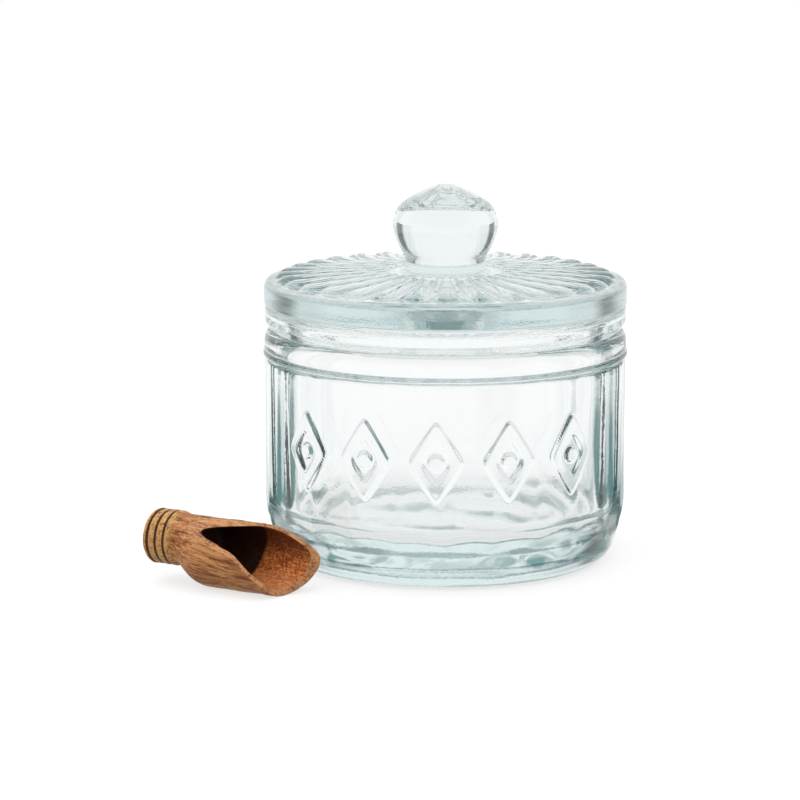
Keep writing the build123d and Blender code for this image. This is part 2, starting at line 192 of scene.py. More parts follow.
jar_outline = Outline(0, FOOT_RECESS)
jar_outline.to(foot_inner - RECESS_ROUND, FOOT_RECESS, rows=12)
jar_outline.around(foot_inner - RECESS_ROUND, 0, RECESS_ROUND, FOOT_RECESS, 90, 20, rows=3)
jar_outline.to(foot_inner + 0.3, 0).to(FOOT_RADIUS, 0, rows=3)
jar_outline.around(FOOT_RADIUS, FOOT_CORNER, FOOT_CORNER, FOOT_CORNER, -90, 0, rows=10)
jar_outline.to(BASE_TOP_RADIUS - 0.5, FACET_BOTTOM - BASE_SIDE_DROP, rows=6)
jar_outline.through([(BASE_TOP_RADIUS - 0.15, FACET_BOTTOM - 1.8), (JAR_RADIUS - 0.55, FACET_BOTTOM + 0.3),
                     (JAR_RADIUS - 0.1, FACET_BOTTOM + 2.4), (JAR_RADIUS, FACET_BOTTOM + 4.4)], rows=4)
jar_outline.to(JAR_RADIUS, RELIEF_BOTTOM, rows=8).to(JAR_RADIUS, RELIEF_TOP, rows=40)
jar_outline.to(JAR_RADIUS, FACET_TOP - 0.2, rows=10)
jar_outline.around(JAR_RADIUS, bead_middle, BEAD_STAND, BEAD_WIDTH / 2, -BEAD_ARC, BEAD_ARC, rows=6)
jar_outline.to(JAR_RADIUS, bead_top + 0.2).to(JAR_RADIUS, JAR_HEIGHT - RIM_HEIGHT, rows=3)
jar_outline.around(JAR_RADIUS - RIM_WIDTH, JAR_HEIGHT - RIM_HEIGHT, RIM_WIDTH, RIM_HEIGHT, 0, 90, rows=8)
jar_outline.to(NECK_BORE + RIM_INNER, JAR_HEIGHT)
jar_outline.around(NECK_BORE + RIM_INNER, JAR_HEIGHT - RIM_INNER, RIM_INNER, RIM_INNER, 90, 180, rows=4)
jar_outline.to(NECK_BORE, LEDGE_TOP + 0.6, rows=5)
jar_outline.around(NECK_BORE, LEDGE_TOP - LEDGE_ROUND, NECK_BORE - BORE_RADIUS, LEDGE_ROUND, 90, 180, rows=7)
jar_outline.to(BORE_FOOT_RADIUS, BASE_THICKNESS + FLOOR_CORNER, rows=24)
jar_outline.around(BORE_FOOT_RADIUS - FLOOR_CORNER, BASE_THICKNESS + FLOOR_CORNER,
                   FLOOR_CORNER, FLOOR_CORNER, 0, -90, rows=9)
jar_outline.to(0, BASE_THICKNESS, rows=16)
jar = spin_outline("jar_glass", jar_outline, JAR_STEPS)

# %% [markdown]
# ### Shaping a mesh by numbers
# The facets, the relief and the waves are all worked out for every point of a piece at once, in millimetres.

# %% Mesh helpers
def smooth_step(x):
    """0 below 0, 1 above 1, with an eased rise between."""
    x = np.clip(x, 0, 1)
    return x * x * (3 - 2 * x)


def soft_abs(x, softness):
    """The size of x, with its corner at zero rounded."""
    return np.sqrt(x * x + softness * softness)


def points_of(piece):
    """The piece's points in millimetres, as rows of x, y and z."""
    flat = np.empty(3 * len(piece.data.vertices))
    piece.data.vertices.foreach_get("co", flat)
    return flat.reshape(-1, 3) / MM


def move_points(piece, points):
    """Puts the piece's points where the rows say, in millimetres."""
    piece.data.vertices.foreach_set("co", (points * MM).ravel())
    piece.data.update()


def around_axis(points):
    """The distance of each point from the Z axis, and its angle from the front in degrees."""
    return np.hypot(points[:, 0], points[:, 1]), np.degrees(np.arctan2(points[:, 0], -points[:, 1]))


def subdivide_patch(piece, chosen):
    """Subdivides the faces whose centre, in millimetres, the test picks."""
    bpy.context.view_layer.objects.active = piece
    bpy.context.tool_settings.mesh_select_mode = (False, False, True)
    bpy.ops.object.mode_set(mode="EDIT")
    bpy.ops.mesh.select_all(action="DESELECT")
    bpy.ops.object.mode_set(mode="OBJECT")
    for face in piece.data.polygons:
        face.select = bool(chosen(*(v / MM for v in face.center)))
    bpy.ops.object.mode_set(mode="EDIT")
    bpy.ops.mesh.subdivide(number_cuts=1)
    bpy.ops.object.mode_set(mode="OBJECT")
    print(piece.name, len(piece.data.vertices), "points after the patch")


# %% [markdown]
# ### Facets, lozenges and the softness of the mould
# A press mould leaves flat panels whose edges the fire has softened, and raised ornament with the same soft
# edges. Both are small moves of the wall along its radius, so they are written as one depth for each
# point. The band of raised lozenges needs finer faces, so its patch is subdivided first.

# %% Jar facets and relief
FACET_COUNT = 24
FACET_SOFTNESS = 0.07
LOZENGE_COUNT = 5
LOZENGE_PITCH = 22.5
LOZENGE_TURN = -3.5
LOZENGE_CENTRE = 42.5
LOZENGE_HALF_HEIGHT = 14.0
LOZENGE_HALF_WIDTH = 9.0
LOZENGE_STROKE = 3.4
LOZENGE_STAND = 1.1
BOSS_RADIUS = 2.5
SOFT_EDGE = 0.9
SIDE_CORNER = 0.8
TIP_CORNER = 1.2
OUTSIDE_DEPTH = 1.2
FACET_TURN = -1.0
FACET_EDGE_WIDTH = 0.7


def lozenge_relief(angle, height):
    """How far the raised lozenges stand out, from 0 to 1, at an angle from the front and a height."""
    relief = np.zeros_like(angle)
    slope = math.hypot(LOZENGE_HALF_WIDTH, LOZENGE_HALF_HEIGHT)
    first = LOZENGE_TURN - LOZENGE_PITCH * (LOZENGE_COUNT - 1) / 2
    for place in range(LOZENGE_COUNT):
        across = np.radians(angle - first - place * LOZENGE_PITCH) * JAR_RADIUS
        up = height - LOZENGE_CENTRE
        diamond = (soft_abs(across, SIDE_CORNER) / LOZENGE_HALF_WIDTH
                   + soft_abs(up, TIP_CORNER) / LOZENGE_HALF_HEIGHT - 1)
        from_edge = diamond * LOZENGE_HALF_WIDTH * LOZENGE_HALF_HEIGHT / slope
        from_line = np.abs(from_edge + LOZENGE_STROKE / 2)
        frame_part = smooth_step((LOZENGE_STROKE / 2 - from_line) / SOFT_EDGE + 0.5)
        boss_part = smooth_step((BOSS_RADIUS - np.hypot(across, up)) / SOFT_EDGE + 0.5)
        relief = np.maximum(relief, np.maximum(frame_part, boss_part))
    return relief


relief_side = math.radians(LOZENGE_PITCH * LOZENGE_COUNT / 2 + 1)
relief_middle = math.radians(LOZENGE_TURN)
subdivide_patch(jar, lambda x, y, z: math.hypot(x, y) > BORE_RADIUS + 3 and RELIEF_BOTTOM < z < RELIEF_TOP
                and abs(math.atan2(x, -y) - relief_middle) < relief_side)

jar_points = points_of(jar)
radius, angle = around_axis(jar_points)
height = jar_points[:, 2]
outside = radius > JAR_RADIUS - OUTSIDE_DEPTH
pitch = 360 / FACET_COUNT
from_middle = np.radians(np.abs((angle - FACET_TURN) % pitch - pitch / 2))
flat_radius = JAR_RADIUS * math.cos(math.radians(pitch / 2))
facet_radius = flat_radius / np.cos(from_middle)
from_edge = (np.radians(pitch / 2) - from_middle) * JAR_RADIUS
facet_radius -= FACET_SOFTNESS * np.exp(-(from_edge / FACET_EDGE_WIDTH) ** 2)
faceted = smooth_step((height - FACET_BOTTOM + 1.5) / 6.0) * smooth_step((FACET_TOP - height) / 0.8)
new_radius = radius + np.where(outside, faceted * (facet_radius - JAR_RADIUS), 0)
near_band = np.abs(height - LOZENGE_CENTRE) < LOZENGE_HALF_HEIGHT + 2
raised = np.where(outside & near_band, lozenge_relief(angle, height), 0)
new_radius += raised * (flat_radius + LOZENGE_STAND - new_radius)
scale = np.where(radius > 0, new_radius / np.maximum(radius, 1e-6), 1)
jar_points[:, :2] *= scale[:, None]
move_points(jar, jar_points)
print("relief on", int((raised > 0.5).sum()), "points")

# %% [markdown]
# ### Waviness
# Pressed glass is never quite flat. A slow random wave of about a tenth of a millimetre, deeper on the inner
# floor and on the thick base, makes edges and reflections wander as they do in the real thing.

# %% Waviness helper
SEED_STEP = (17.3, 5.1, 9.7)


def wave(piece, size, depth, seed, chosen=None):
    """Moves points along their normals by smooth noise of a given size and depth, in millimetres."""
    points = points_of(piece)
    normals = np.array([v.normal[:] for v in piece.data.vertices])
    shift = Vector([seed * step for step in SEED_STEP])
    amount = np.array([noise.noise(Vector(p) / size + shift) for p in points])
    if chosen is not None:
        amount *= chosen(points)
    move_points(piece, points + normals * (amount * depth)[:, None])


def off_contact(points):
    """0 near the faces where jar, lid and table meet, and 1 elsewhere."""
    level = points[:, 2]
    return smooth_step(level / 3) * smooth_step(np.abs(level - JAR_HEIGHT) / 2)


def inner_floor(points):
    """1 on the jar's inner floor and its corner, fading up the wall."""
    level = points[:, 2]
    inside = around_axis(points)[0] < BORE_RADIUS + 1
    return inside * smooth_step((BASE_THICKNESS + 10 - level) / 8) * (level > BASE_THICKNESS - 1)


def thick_base(points):
    """1 on the outside of the thick base and under it, fading towards the foot ring and the facets."""
    level = points[:, 2]
    radius = around_axis(points)[0]
    under = (level < FOOT_RECESS + 0.1) * smooth_step((foot_inner - 2 - radius) / 8)
    side = (radius > BORE_RADIUS) * smooth_step((level - 1) / 4) * smooth_step((FACET_BOTTOM - level) / 3)
    return np.maximum(under, side)


wave(jar, 30.0, 0.12, 1, off_contact)
wave(jar, 11.0, 0.05, 2, off_contact)
wave(jar, 22.0, 1.5, 3, inner_floor)
wave(jar, 14.0, 0.55, 8, thick_base)

# %% [markdown]
# ## The lid
# One piece of glass: a thick disc whose top rises gently to a collar, a solid knob above it, and below a
# hollow rim with a locating ring that drops into the neck. A fine groove parts the two halves of the
# lid's side, where the mould's halves met.

# %% Lid outline
LID_SEAT = JAR_HEIGHT + 0.1
LID_RADIUS = 60.0
LOWER_BAND = 7.9
LOWER_EDGE_WIDTH = 1.5
LOWER_EDGE_HEIGHT = 2.7
UPPER_BAND = 8.4
UPPER_ROUND = 2.4
GROOVE_DEPTH = 0.8
CEILING = LID_SEAT + 6.3
SPIGOT_OUTER = 54.9
SPIGOT_INNER = 50.3
SPIGOT_FOOT = LID_SEAT - 3.0
RECESS_RADIUS = 12.4
RECESS_DEPTH = 2.8
LID_RISE = 2.2
COLLAR_RADIUS = 13.2
COLLAR_HEIGHT = 3.2
COLLAR_FILLET = 1.0
COLLAR_EDGE = 0.4
CEILING_ROUND = 2.0
SPIGOT_ROUND = 1.0
GROOVE_LIP = 0.6
# The knob's outline: radius, then height above the collar.
KNOB_SIDE = [(13.9, 2.6), (15.9, 6.6), (17.0, 9.8), (17.35, 12.9), (16.75, 15.8)]
KNOB_CAP = [(15.7, 17.9), (14.1, 19.7), (11.0, 21.6), (7.4, 23.6), (3.2, 25.3)]
LID_STEPS = 320

groove_level = LID_SEAT + LOWER_BAND
edge_top = groove_level + UPPER_BAND
edge_radius = LID_RADIUS - UPPER_ROUND
collar_foot = edge_top + LID_RISE
collar_top = collar_foot + COLLAR_HEIGHT
lower_radius = LID_RADIUS - 0.3
knob_top = lid_high.z / MM

lid_outline = Outline(0, CEILING + RECESS_DEPTH)
lid_outline.to(RECESS_RADIUS - RECESS_DEPTH, CEILING + RECESS_DEPTH, rows=5)
lid_outline.to(RECESS_RADIUS, CEILING, rows=6)
lid_outline.to(SPIGOT_INNER - CEILING_ROUND, CEILING, rows=12)
lid_outline.around(SPIGOT_INNER - CEILING_ROUND, CEILING - CEILING_ROUND,
                   CEILING_ROUND, CEILING_ROUND, 90, 0, rows=5)
lid_outline.to(SPIGOT_INNER, SPIGOT_FOOT + SPIGOT_ROUND, rows=5)
lid_outline.around(SPIGOT_INNER + SPIGOT_ROUND, SPIGOT_FOOT + SPIGOT_ROUND,
                   SPIGOT_ROUND, SPIGOT_ROUND, 180, 270, rows=4)
lid_outline.to(SPIGOT_OUTER - SPIGOT_ROUND, SPIGOT_FOOT, rows=2)
lid_outline.around(SPIGOT_OUTER - SPIGOT_ROUND, SPIGOT_FOOT + SPIGOT_ROUND,
                   SPIGOT_ROUND, SPIGOT_ROUND, 270, 360, rows=4)
lid_outline.to(SPIGOT_OUTER, LID_SEAT - 0.3, rows=2).to(SPIGOT_OUTER + 0.3, LID_SEAT)
lid_outline.to(lower_radius - LOWER_EDGE_WIDTH - 0.2, LID_SEAT, rows=2)
lid_outline.to(lower_radius - LOWER_EDGE_WIDTH + 0.1, LID_SEAT + 0.3)
lid_outline.to(lower_radius - 0.15, LID_SEAT + LOWER_EDGE_HEIGHT - 0.3, rows=3)
lid_outline.to(lower_radius - 0.03, LID_SEAT + LOWER_EDGE_HEIGHT)
lid_outline.to(lower_radius, LID_SEAT + LOWER_EDGE_HEIGHT + 0.4)
lid_outline.to(lower_radius, groove_level - 0.7, rows=5)
lid_outline.around(lower_radius - 0.4, groove_level - 0.7, 0.4, 0.45, 0, 80, rows=3)
lid_outline.to(lower_radius - GROOVE_DEPTH, groove_level - 0.05)
lid_outline.to(lower_radius - GROOVE_DEPTH, groove_level + 0.1)
lid_outline.around(LID_RADIUS - GROOVE_LIP, groove_level + 0.8, GROOVE_LIP, GROOVE_LIP, -90, 0, rows=4)
lid_outline.to(LID_RADIUS, edge_top - UPPER_ROUND, rows=5)
lid_outline.around(edge_radius, edge_top - UPPER_ROUND, UPPER_ROUND, UPPER_ROUND, 0, 90, rows=8)
lid_outline.to(COLLAR_RADIUS + COLLAR_FILLET, collar_foot - 0.05, rows=36)
lid_outline.around(COLLAR_RADIUS + COLLAR_FILLET, collar_foot + COLLAR_FILLET,
                   COLLAR_FILLET, COLLAR_FILLET, 270, 180, rows=4)
lid_outline.to(COLLAR_RADIUS, collar_top - 0.5, rows=3)
lid_outline.around(COLLAR_RADIUS - COLLAR_EDGE, collar_top - 0.5, COLLAR_EDGE, COLLAR_EDGE, 0, 80, rows=3)
knob_side = [(r, collar_top + above) for r, above in KNOB_SIDE]
knob_cap = [(r, collar_top + above) for r, above in KNOB_CAP]
lid_outline.through(knob_side, rows=5)
lid_outline.through(knob_cap + [(1.4, knob_top - 0.15), (0, knob_top - 0.02)], rows=4)
lid = spin_outline("lid_glass", lid_outline, LID_STEPS)

# %% [markdown]
# ### The sunburst
# Thirty-two rounded rays stand on the lid's top. Each widens outwards and ends in a round tip just inside
# the rim. As with the jar's ornament, the rays are a height added to a fine mesh, so they keep the melted
# softness of the mould.

# %% Lid ribs
RIB_COUNT = 32
RIB_START = 19.0
RIB_END = 56.0
RIB_WIDTH_START = 2.8
RIB_WIDTH_END = 8.6
RIB_STAND_START = 1.1
RIB_STAND_END = 1.9


def rib_height(radius, angle):
    """How high the rays stand above the lid's top, in millimetres."""
    rib_pitch = 360 / RIB_COUNT
    across = np.radians((angle + rib_pitch / 2) % rib_pitch - rib_pitch / 2) * radius
    share = np.clip((radius - RIB_START) / (RIB_END - RIB_START), 0, 1)
    half = (RIB_WIDTH_START + (RIB_WIDTH_END - RIB_WIDTH_START) * share) / 2
    stand = RIB_STAND_START + (RIB_STAND_END - RIB_STAND_START) * share
    end_centre = RIB_END - RIB_WIDTH_END / 2
    past_end = np.maximum(radius - end_centre, 0)
    past_start = np.maximum(RIB_START + RIB_WIDTH_START / 2 - radius, 0)
    reach = np.sqrt(across**2 + past_end**2 + past_start**2) / half
    return stand * np.sqrt(np.clip(1 - reach**2, 0, 1))


subdivide_patch(lid, lambda x, y, z: z > edge_top - 0.6 and 17 < math.hypot(x, y) < LID_RADIUS - 2.2)
lid_points = points_of(lid)
radius, angle = around_axis(lid_points)
on_top = (lid_points[:, 2] > edge_top - 0.5) & (radius > COLLAR_RADIUS + 1) & (radius < LID_RADIUS - 1)
lid_points[:, 2] += np.where(on_top, rib_height(radius, angle), 0)
move_points(lid, lid_points)
wave(lid, 26.0, 0.10, 4, off_contact)
wave(lid, 9.0, 0.03, 5, off_contact)
print("highest point of the lid", round(points_of(lid)[:, 2].max(), 2))

# %% [markdown]
# ## The scoop
# The scoop is turned on a lathe: a grooved handle, a waist and a round bowl. A hole is drilled into the
# bowl, a little nearer to the side that will be open, and a curved cut opens the mouth. The whole wall,
# outside and inside, is spun as one outline first, and its rows are then drawn back to the edge of the cut.
# That keeps the edge clean where the wall is thin, which a subtraction with a coarse remesh would not.

# %% Scoop body
SCOOP_BLANK = 58.0
BOWL_RADIUS = 11.2
DRILL_RADIUS = 9.6
BORE_SHIFT = 0.8
HANDLE_RADIUS = 9.0
WAIST_RADIUS = 8.1
WAIST = 11.4
SHOULDER_END = 22.0
BORE_START = 18.5
BORE_ROUND = 2.5
MOUTH_START = 12.5
GROOVE_FIRST = 2.1
GROOVE_PITCH = 3.0
SCOOP_GROOVES = 3
SCOOP_TURN = -29.6
SCOOP_ROLL = 40.0
SCOOP_END = (-93.7, -37.2)
HANDLE_ROUND = 1.4
HANDLE_FACE_EDGE = 1.6
TURNED_GROOVE = 0.6
SCOOP_STEPS = 176

bore_full = BORE_START + BORE_ROUND
scoop_outline = Outline(0, 0.15)
scoop_outline.to(HANDLE_RADIUS - HANDLE_FACE_EDGE, 0, rows=6)
scoop_outline.around(HANDLE_RADIUS - HANDLE_ROUND, HANDLE_ROUND, HANDLE_ROUND, HANDLE_ROUND, -90, 0, rows=5)
for place in range(SCOOP_GROOVES):
    middle = GROOVE_FIRST + place * GROOVE_PITCH
    scoop_outline.to(HANDLE_RADIUS, middle - 0.45, rows=3).to(HANDLE_RADIUS - TURNED_GROOVE, middle - 0.15)
    scoop_outline.to(HANDLE_RADIUS - TURNED_GROOVE, middle + 0.15).to(HANDLE_RADIUS, middle + 0.45)
scoop_outline.to(HANDLE_RADIUS, WAIST - 2.0, rows=2).to(WAIST_RADIUS, WAIST, rows=5)
for step in range(1, 25):
    share = step / 24
    swell = (BOWL_RADIUS - WAIST_RADIUS) * math.sin(share * math.pi / 2)
    scoop_outline.to(WAIST_RADIUS + swell, WAIST + (SHOULDER_END - WAIST) * share)
side_stations = [z for r, z in scoop_outline.points if z > HANDLE_ROUND]
side_radii = [r for r, z in scoop_outline.points if z > HANDLE_ROUND]
scoop_outline.to(BOWL_RADIUS, SCOOP_BLANK, rows=54).to(DRILL_RADIUS, SCOOP_BLANK, rows=9)
scoop_outline.to(DRILL_RADIUS, bore_full, rows=44)
scoop_outline.around(DRILL_RADIUS - BORE_ROUND, bore_full, BORE_ROUND, BORE_ROUND, 0, -90, rows=6)
scoop_outline.to(0, BORE_START, rows=6)
scoop = spin_outline("scoop_wood", scoop_outline, SCOOP_STEPS)

# %% [markdown]
# ### The mouth
# Seen from the side, the cut starts as a long shallow ramp on the shoulder and then dives towards the lip.
# Seen in plan, the lip is a little skewed, with one rounded corner. For each direction round the bowl, the
# first station where the wall is above the cut, or beyond the lip, is where the wall has to end.

# %% Scoop mouth
MOUTH_RAMP_END = (1.5, 30.0)
MOUTH_CURVE = [(3.4, 37.3), (9.8, 44.8), (17.1, 54.2), (21.5, 60.0)]
LIP_STATION = 51.9
LIP_BEVEL = 1.4
LIP_SLOPE = math.tan(math.radians(27.5))
LIP_MARGIN = 0.3
LIP_CORNER = 4.0
BEVEL_GROWTH = 7

roll = math.radians(SCOOP_ROLL)
# The scoop stands upright here. When it is laid down, -X becomes up, and -Y becomes the front.
upward = np.array((-1.0, 0.0))
opening = np.array((-math.cos(roll), -math.sin(roll)))
nearer = np.array((math.sin(roll), -math.cos(roll)))
mouth_line = Outline(0, MOUTH_START).to(*MOUTH_RAMP_END, rows=3).through(MOUTH_CURVE, rows=8)
mouth_depths, mouth_stations = zip(*mouth_line.points)
stations = np.linspace(MOUTH_START, SCOOP_BLANK, 400)
cut_depth = np.interp(stations, mouth_stations, mouth_depths)


def lip_station(near):
    """Where the lip ends, for a distance towards the front from the bowl's middle."""
    corner_near = LIP_CORNER - BOWL_RADIUS - LIP_MARGIN
    corner_station = LIP_STATION - corner_near * LIP_SLOPE - LIP_CORNER * math.hypot(1, LIP_SLOPE)
    tangent = corner_near + LIP_CORNER * LIP_SLOPE / math.hypot(1, LIP_SLOPE)
    corner = corner_station + np.sqrt(np.maximum(LIP_CORNER**2 - (near - corner_near)**2, 0))
    return np.where(near > tangent, LIP_STATION - LIP_SLOPE * near, corner)


def wall_end(direction, radii, rise, bevel):
    """Where the wall of the given radii ends, for each direction. Rise is towards the opening."""
    above = np.outer(direction @ opening, radii) + rise - BOWL_RADIUS + cut_depth
    first = np.argmax(above >= 0, axis=1)
    end = np.where((above >= 0).any(axis=1), stations[first], SCOOP_BLANK)
    near = (direction @ nearer) * radii[-1]
    return np.minimum(end, lip_station(near) - bevel * (1 + np.maximum(-near, 0) / BEVEL_GROWTH))


def fill_in(start, end, level):
    """Draws the rows from a station to the blank's end back to a new end, and closer together there."""
    share = (level - start) / (SCOOP_BLANK - start)
    return start + (end - start) * (1 - (1 - share) ** 1.3)


points = points_of(scoop)
radius = np.hypot(points[:, 0], points[:, 1])
level = points[:, 2]
direction = points[:, :2] / np.maximum(radius, 1e-6)[:, None]
on_axis = radius < 1e-3
outer_radii = np.interp(stations, side_stations, side_radii)
outer_end = wall_end(direction, outer_radii, (BOWL_RADIUS - outer_radii) * math.cos(roll), 0)
inner_end = wall_end(direction, np.full_like(stations, DRILL_RADIUS), BORE_SHIFT, LIP_BEVEL)
inner_end = np.maximum(inner_end, bore_full + 0.1)

inner = (level > BORE_START - 0.1) & (radius < DRILL_RADIUS + 0.01)
rim = (np.abs(level - SCOOP_BLANK) < 0.01) & ~inner
outer = ~inner & ~rim
blank_end = np.minimum(level, SCOOP_BLANK)
new_level = np.where(outer & (level > MOUTH_START), fill_in(MOUTH_START, outer_end, blank_end), level)
new_level = np.where(inner & (level > bore_full), fill_in(bore_full, inner_end, blank_end), new_level)
across_rim = (BOWL_RADIUS - radius) / (BOWL_RADIUS - DRILL_RADIUS)
new_level = np.where(rim, outer_end + (inner_end - outer_end) * across_rim, new_level)
side = outer & (level > WAIST)
end_radius = np.interp(outer_end, side_stations, side_radii)
new_radius = np.where(side, np.interp(new_level, side_stations, side_radii), radius)
new_radius = np.where(rim, end_radius + (DRILL_RADIUS - end_radius) * across_rim, new_radius)
handle_lift = BOWL_RADIUS - WAIST_RADIUS
lift = np.where(side, BOWL_RADIUS - new_radius, np.where(outer, handle_lift, 0))
lift = np.where(rim, (BOWL_RADIUS - end_radius) * (1 - across_rim), lift)
shift = np.where(inner, BORE_SHIFT, np.where(rim, BORE_SHIFT * across_rim, 0))
points[:, :2] = direction * new_radius[:, None] + upward * lift[:, None] + opening * shift[:, None]
points[on_axis, :2] = upward * lift[on_axis, None] + opening * shift[on_axis, None]
points[:, 2] = new_level
move_points(scoop, points)
drilled = scoop.data.attributes.new("drilled", "FLOAT", "POINT")
drilled.data.foreach_set("value", np.where(inner, 1.0, 0.0))
cut_face = scoop.data.attributes.new("cut_face", "FLOAT", "POINT")
cut_face.data.foreach_set("value", np.where(rim & (outer_end < SCOOP_BLANK - 2), 1.0, 0.0))
print("mouth from station", round(float(inner_end.min()), 1), "to", round(float(outer_end.max()), 1))

# %% [markdown]
# ### Sanding
# Sandpaper takes the sharp edges off, so the rim's points are smoothed a few times. A fine random wave
# stands for the small unevenness of hand work.

# %% Scoop sanding
near_rim = rim | (outer & (level > SCOOP_BLANK - 2.0)) | (inner & (level > SCOOP_BLANK - 1.8))
scoop.data.vertices.foreach_set("select", near_rim)
bpy.context.view_layer.objects.active = scoop
bpy.context.tool_settings.mesh_select_mode = (True, False, False)
bpy.ops.object.mode_set(mode="EDIT")
bpy.ops.mesh.vertices_smooth(factor=0.5, repeat=6)
bpy.ops.object.mode_set(mode="OBJECT")
wave(scoop, 7.0, 0.22, 6)
wave(scoop, 1.8, 0.07, 7)

bpy.ops.object.select_all(action="DESELECT")
scoop.select_set(True)
scoop.rotation_euler = (0, math.pi / 2, math.radians(SCOOP_TURN))
scoop.location = Vector((SCOOP_END[0], SCOOP_END[1], BOWL_RADIUS)) * MM
bpy.ops.object.transform_apply(location=True, rotation=True, scale=True)
bpy.ops.object.shade_smooth()
print("scoop", len(scoop.data.polygons), "faces, lowest point", round(points_of(scoop)[:, 2].min(), 2))

# %% [markdown]
# ## Shader maths
# The finishes are written as sums on values. One small class wraps a number socket and turns plus, minus,
# times and power into Math nodes, and one method adds every other kind of node.

# %% Shader helpers
class Number:
    """A number that varies over a surface. Sums on it add Math nodes."""

    def __init__(self, shader, socket):
        self.shader = shader
        self.socket = socket

    def sum_with(self, operation, first, second=None):
        """Adds one Math node."""
        node = self.shader.node("ShaderNodeMath", {"operation": operation},
                                {0: first} if second is None else {0: first, 1: second})
        return Number(self.shader, node.outputs[0])

    def __add__(self, other):
        return self.sum_with("ADD", self, other)

    def __radd__(self, other):
        return self.sum_with("ADD", other, self)

    def __sub__(self, other):
        return self.sum_with("SUBTRACT", self, other)

    def __rsub__(self, other):
        return self.sum_with("SUBTRACT", other, self)

    def __mul__(self, other):
        return self.sum_with("MULTIPLY", self, other)

    def __rmul__(self, other):
        return self.sum_with("MULTIPLY", other, self)

    def __truediv__(self, other):
        return self.sum_with("DIVIDE", self, other)

    def __pow__(self, other):
        return self.sum_with("POWER", self, other)

    def smaller(self, other):
        return self.sum_with("MINIMUM", self, other)

    def larger(self, other):
        return self.sum_with("MAXIMUM", self, other)

    def size(self):
        return self.sum_with("ABSOLUTE", self)

    def eased(self, low, high):
        """0 at low and 1 at high, with an eased rise between."""
        node = self.shader.node("ShaderNodeMapRange", {"interpolation_type": "SMOOTHSTEP"},
                                {"Value": self, "From Min": low, "From Max": high})
        return Number(self.shader, node.outputs[0])


class Shader:
    """A node tree, emptied, with one way to add a node."""

    def __init__(self, tree):
        self.tree = tree
        tree.nodes.clear()

    def node(self, kind, settings=None, sockets=None):
        """Adds a node: its settings first, then the values or links of its sockets."""
        made = self.tree.nodes.new(kind)
        for name, value in (settings or {}).items():
            if name == "stops":
                ramp = made.color_ramp
                while len(ramp.elements) < len(value):
                    ramp.elements.new(0.5)
                for element, (position, colour) in zip(ramp.elements, value):
                    element.position = position
                    element.color = (*colour, 1)
            else:
                setattr(made, name, value)
        for name, value in (sockets or {}).items():
            value = value.socket if isinstance(value, Number) else value
            if isinstance(value, bpy.types.NodeSocket):
                self.tree.links.new(value, made.inputs[name])
            else:
                made.inputs[name].default_value = value
        return made

    def number(self, kind, settings=None, sockets=None, output=0):
        """Adds a node and takes one of its outputs as a number."""
        return Number(self, self.node(kind, settings, sockets).outputs[output])

    def blend(self, amount, first, second):
        """A colour between two colours."""
        node = self.node("ShaderNodeMix", {"data_type": "RGBA"}, {0: amount, 6: first, 7: second})
        return node.outputs[2]


def make_material(name):
    """A new material, and the shader that fills its node tree."""
    material = bpy.data.materials.new(name)
    material.use_nodes = True
    return material, Shader(material.node_tree)


# %% [markdown]
# ## Glass
# Clear pressed glass has a faint green-blue tint from iron. The tint belongs to the volume, so thin walls
# look clear, and the long paths in the base and the lid look green. The surface is nearly perfectly
# smooth, with a very shallow bump where the mould left its skin, a little deeper on the thick parts. Where
# the base curves away from the eye, dark surroundings bent through its thick, uneven glass show as dark
# swirls. They are painted on as a dark tint of the surface there: painted shade.

# %% Glass material
GLASS_IOR = 1.5
SKIN_SCALE = 420.0
SEED_SCALE = 900.0
SWIRL_SCALE = 62.0
# The dark teal of the painted shade in the base's swirls.
SWIRL_PAINTED_SHADE_COLOUR = (0.05, 0.17, 0.17, 1)
SKIN_RELIEF = 0.0004


